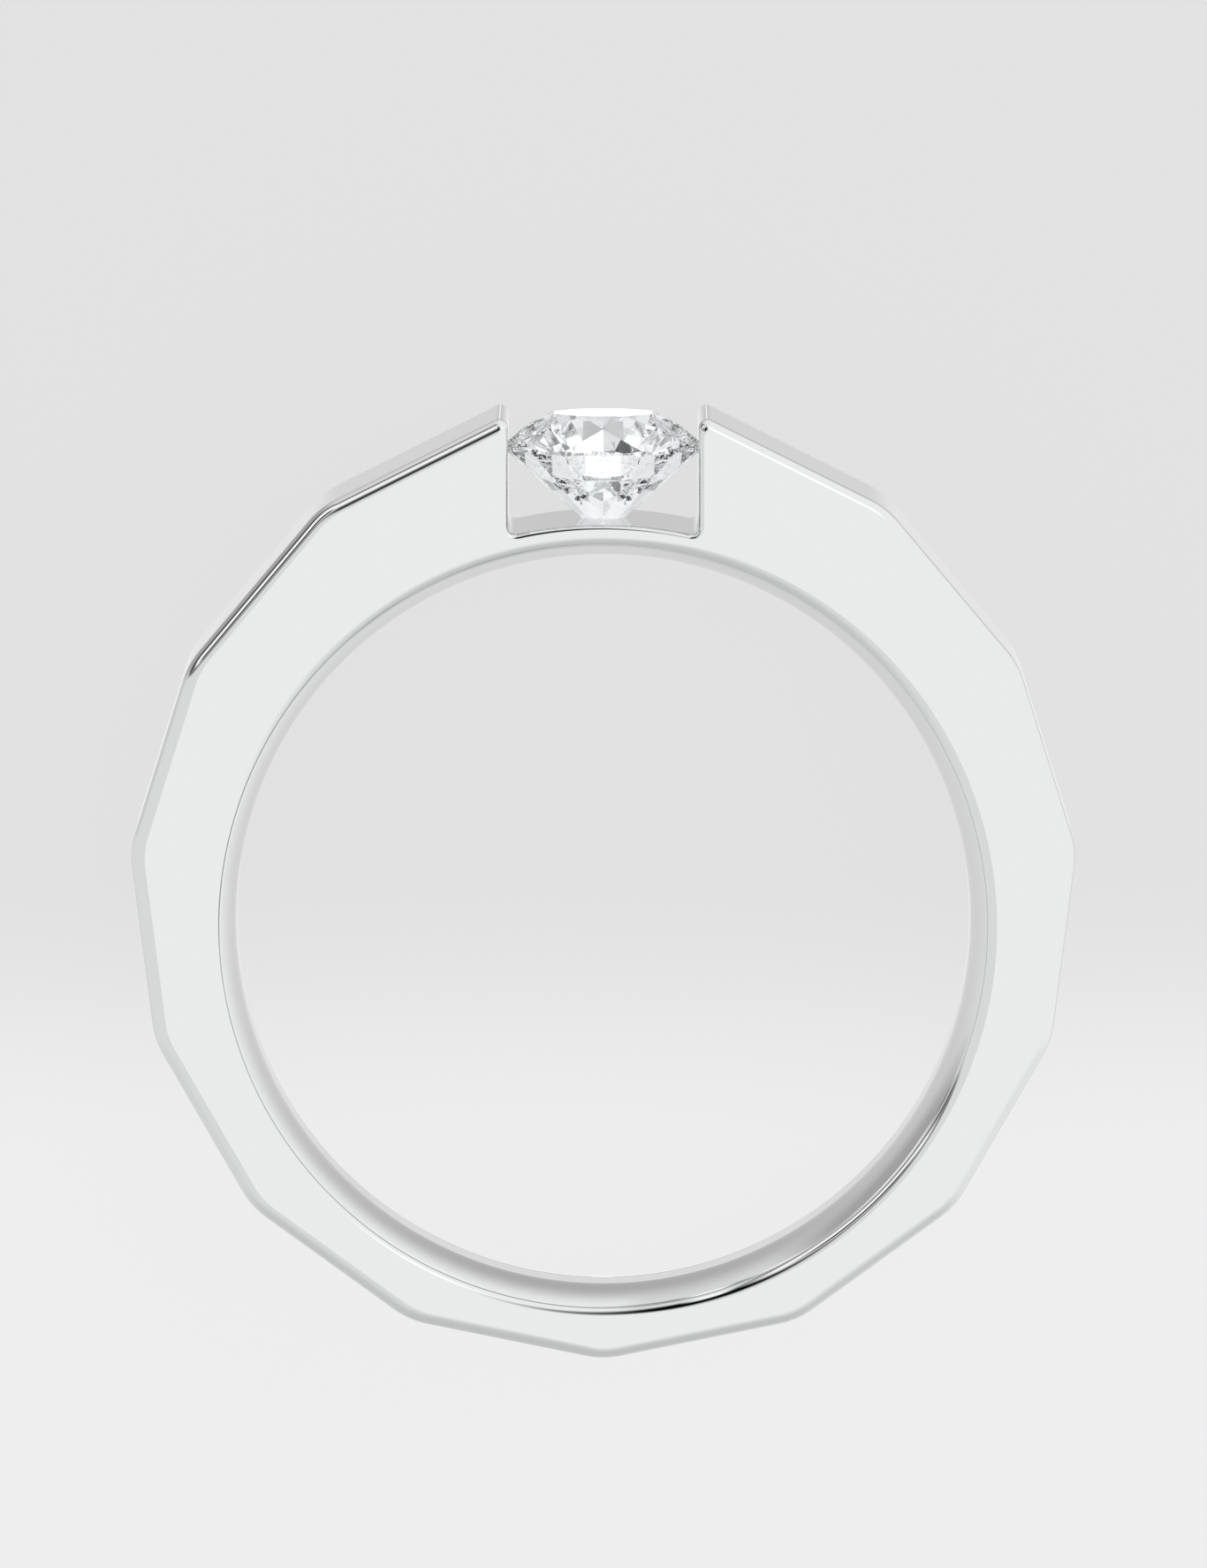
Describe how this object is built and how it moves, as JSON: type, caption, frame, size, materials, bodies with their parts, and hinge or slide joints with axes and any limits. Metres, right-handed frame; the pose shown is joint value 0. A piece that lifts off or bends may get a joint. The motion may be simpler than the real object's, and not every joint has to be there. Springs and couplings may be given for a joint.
{
  "type": "mens ring",
  "caption": "Polished faceted finger ring, open at the top, that holds a round brilliant stone by its girdle between two shoulders.",
  "frame": {"origin": "centre of the finger bore, at half of the band's width", "axes": "+Z along the finger, out of the ring's upper face as it lies on its side; +Y from the finger to the stone; +X to the right"},
  "size_m": [0.0244, 0.0243, 0.0052],
  "materials": {
    "white_gold": "mirror-polished rhodium-plated white gold",
    "diamond": "polished colourless round brilliant with a faceted girdle"
  },
  "bodies": {
    "root": {"ring_band": "white_gold", "centre_stone": "diamond"}
  },
  "joints": []
}
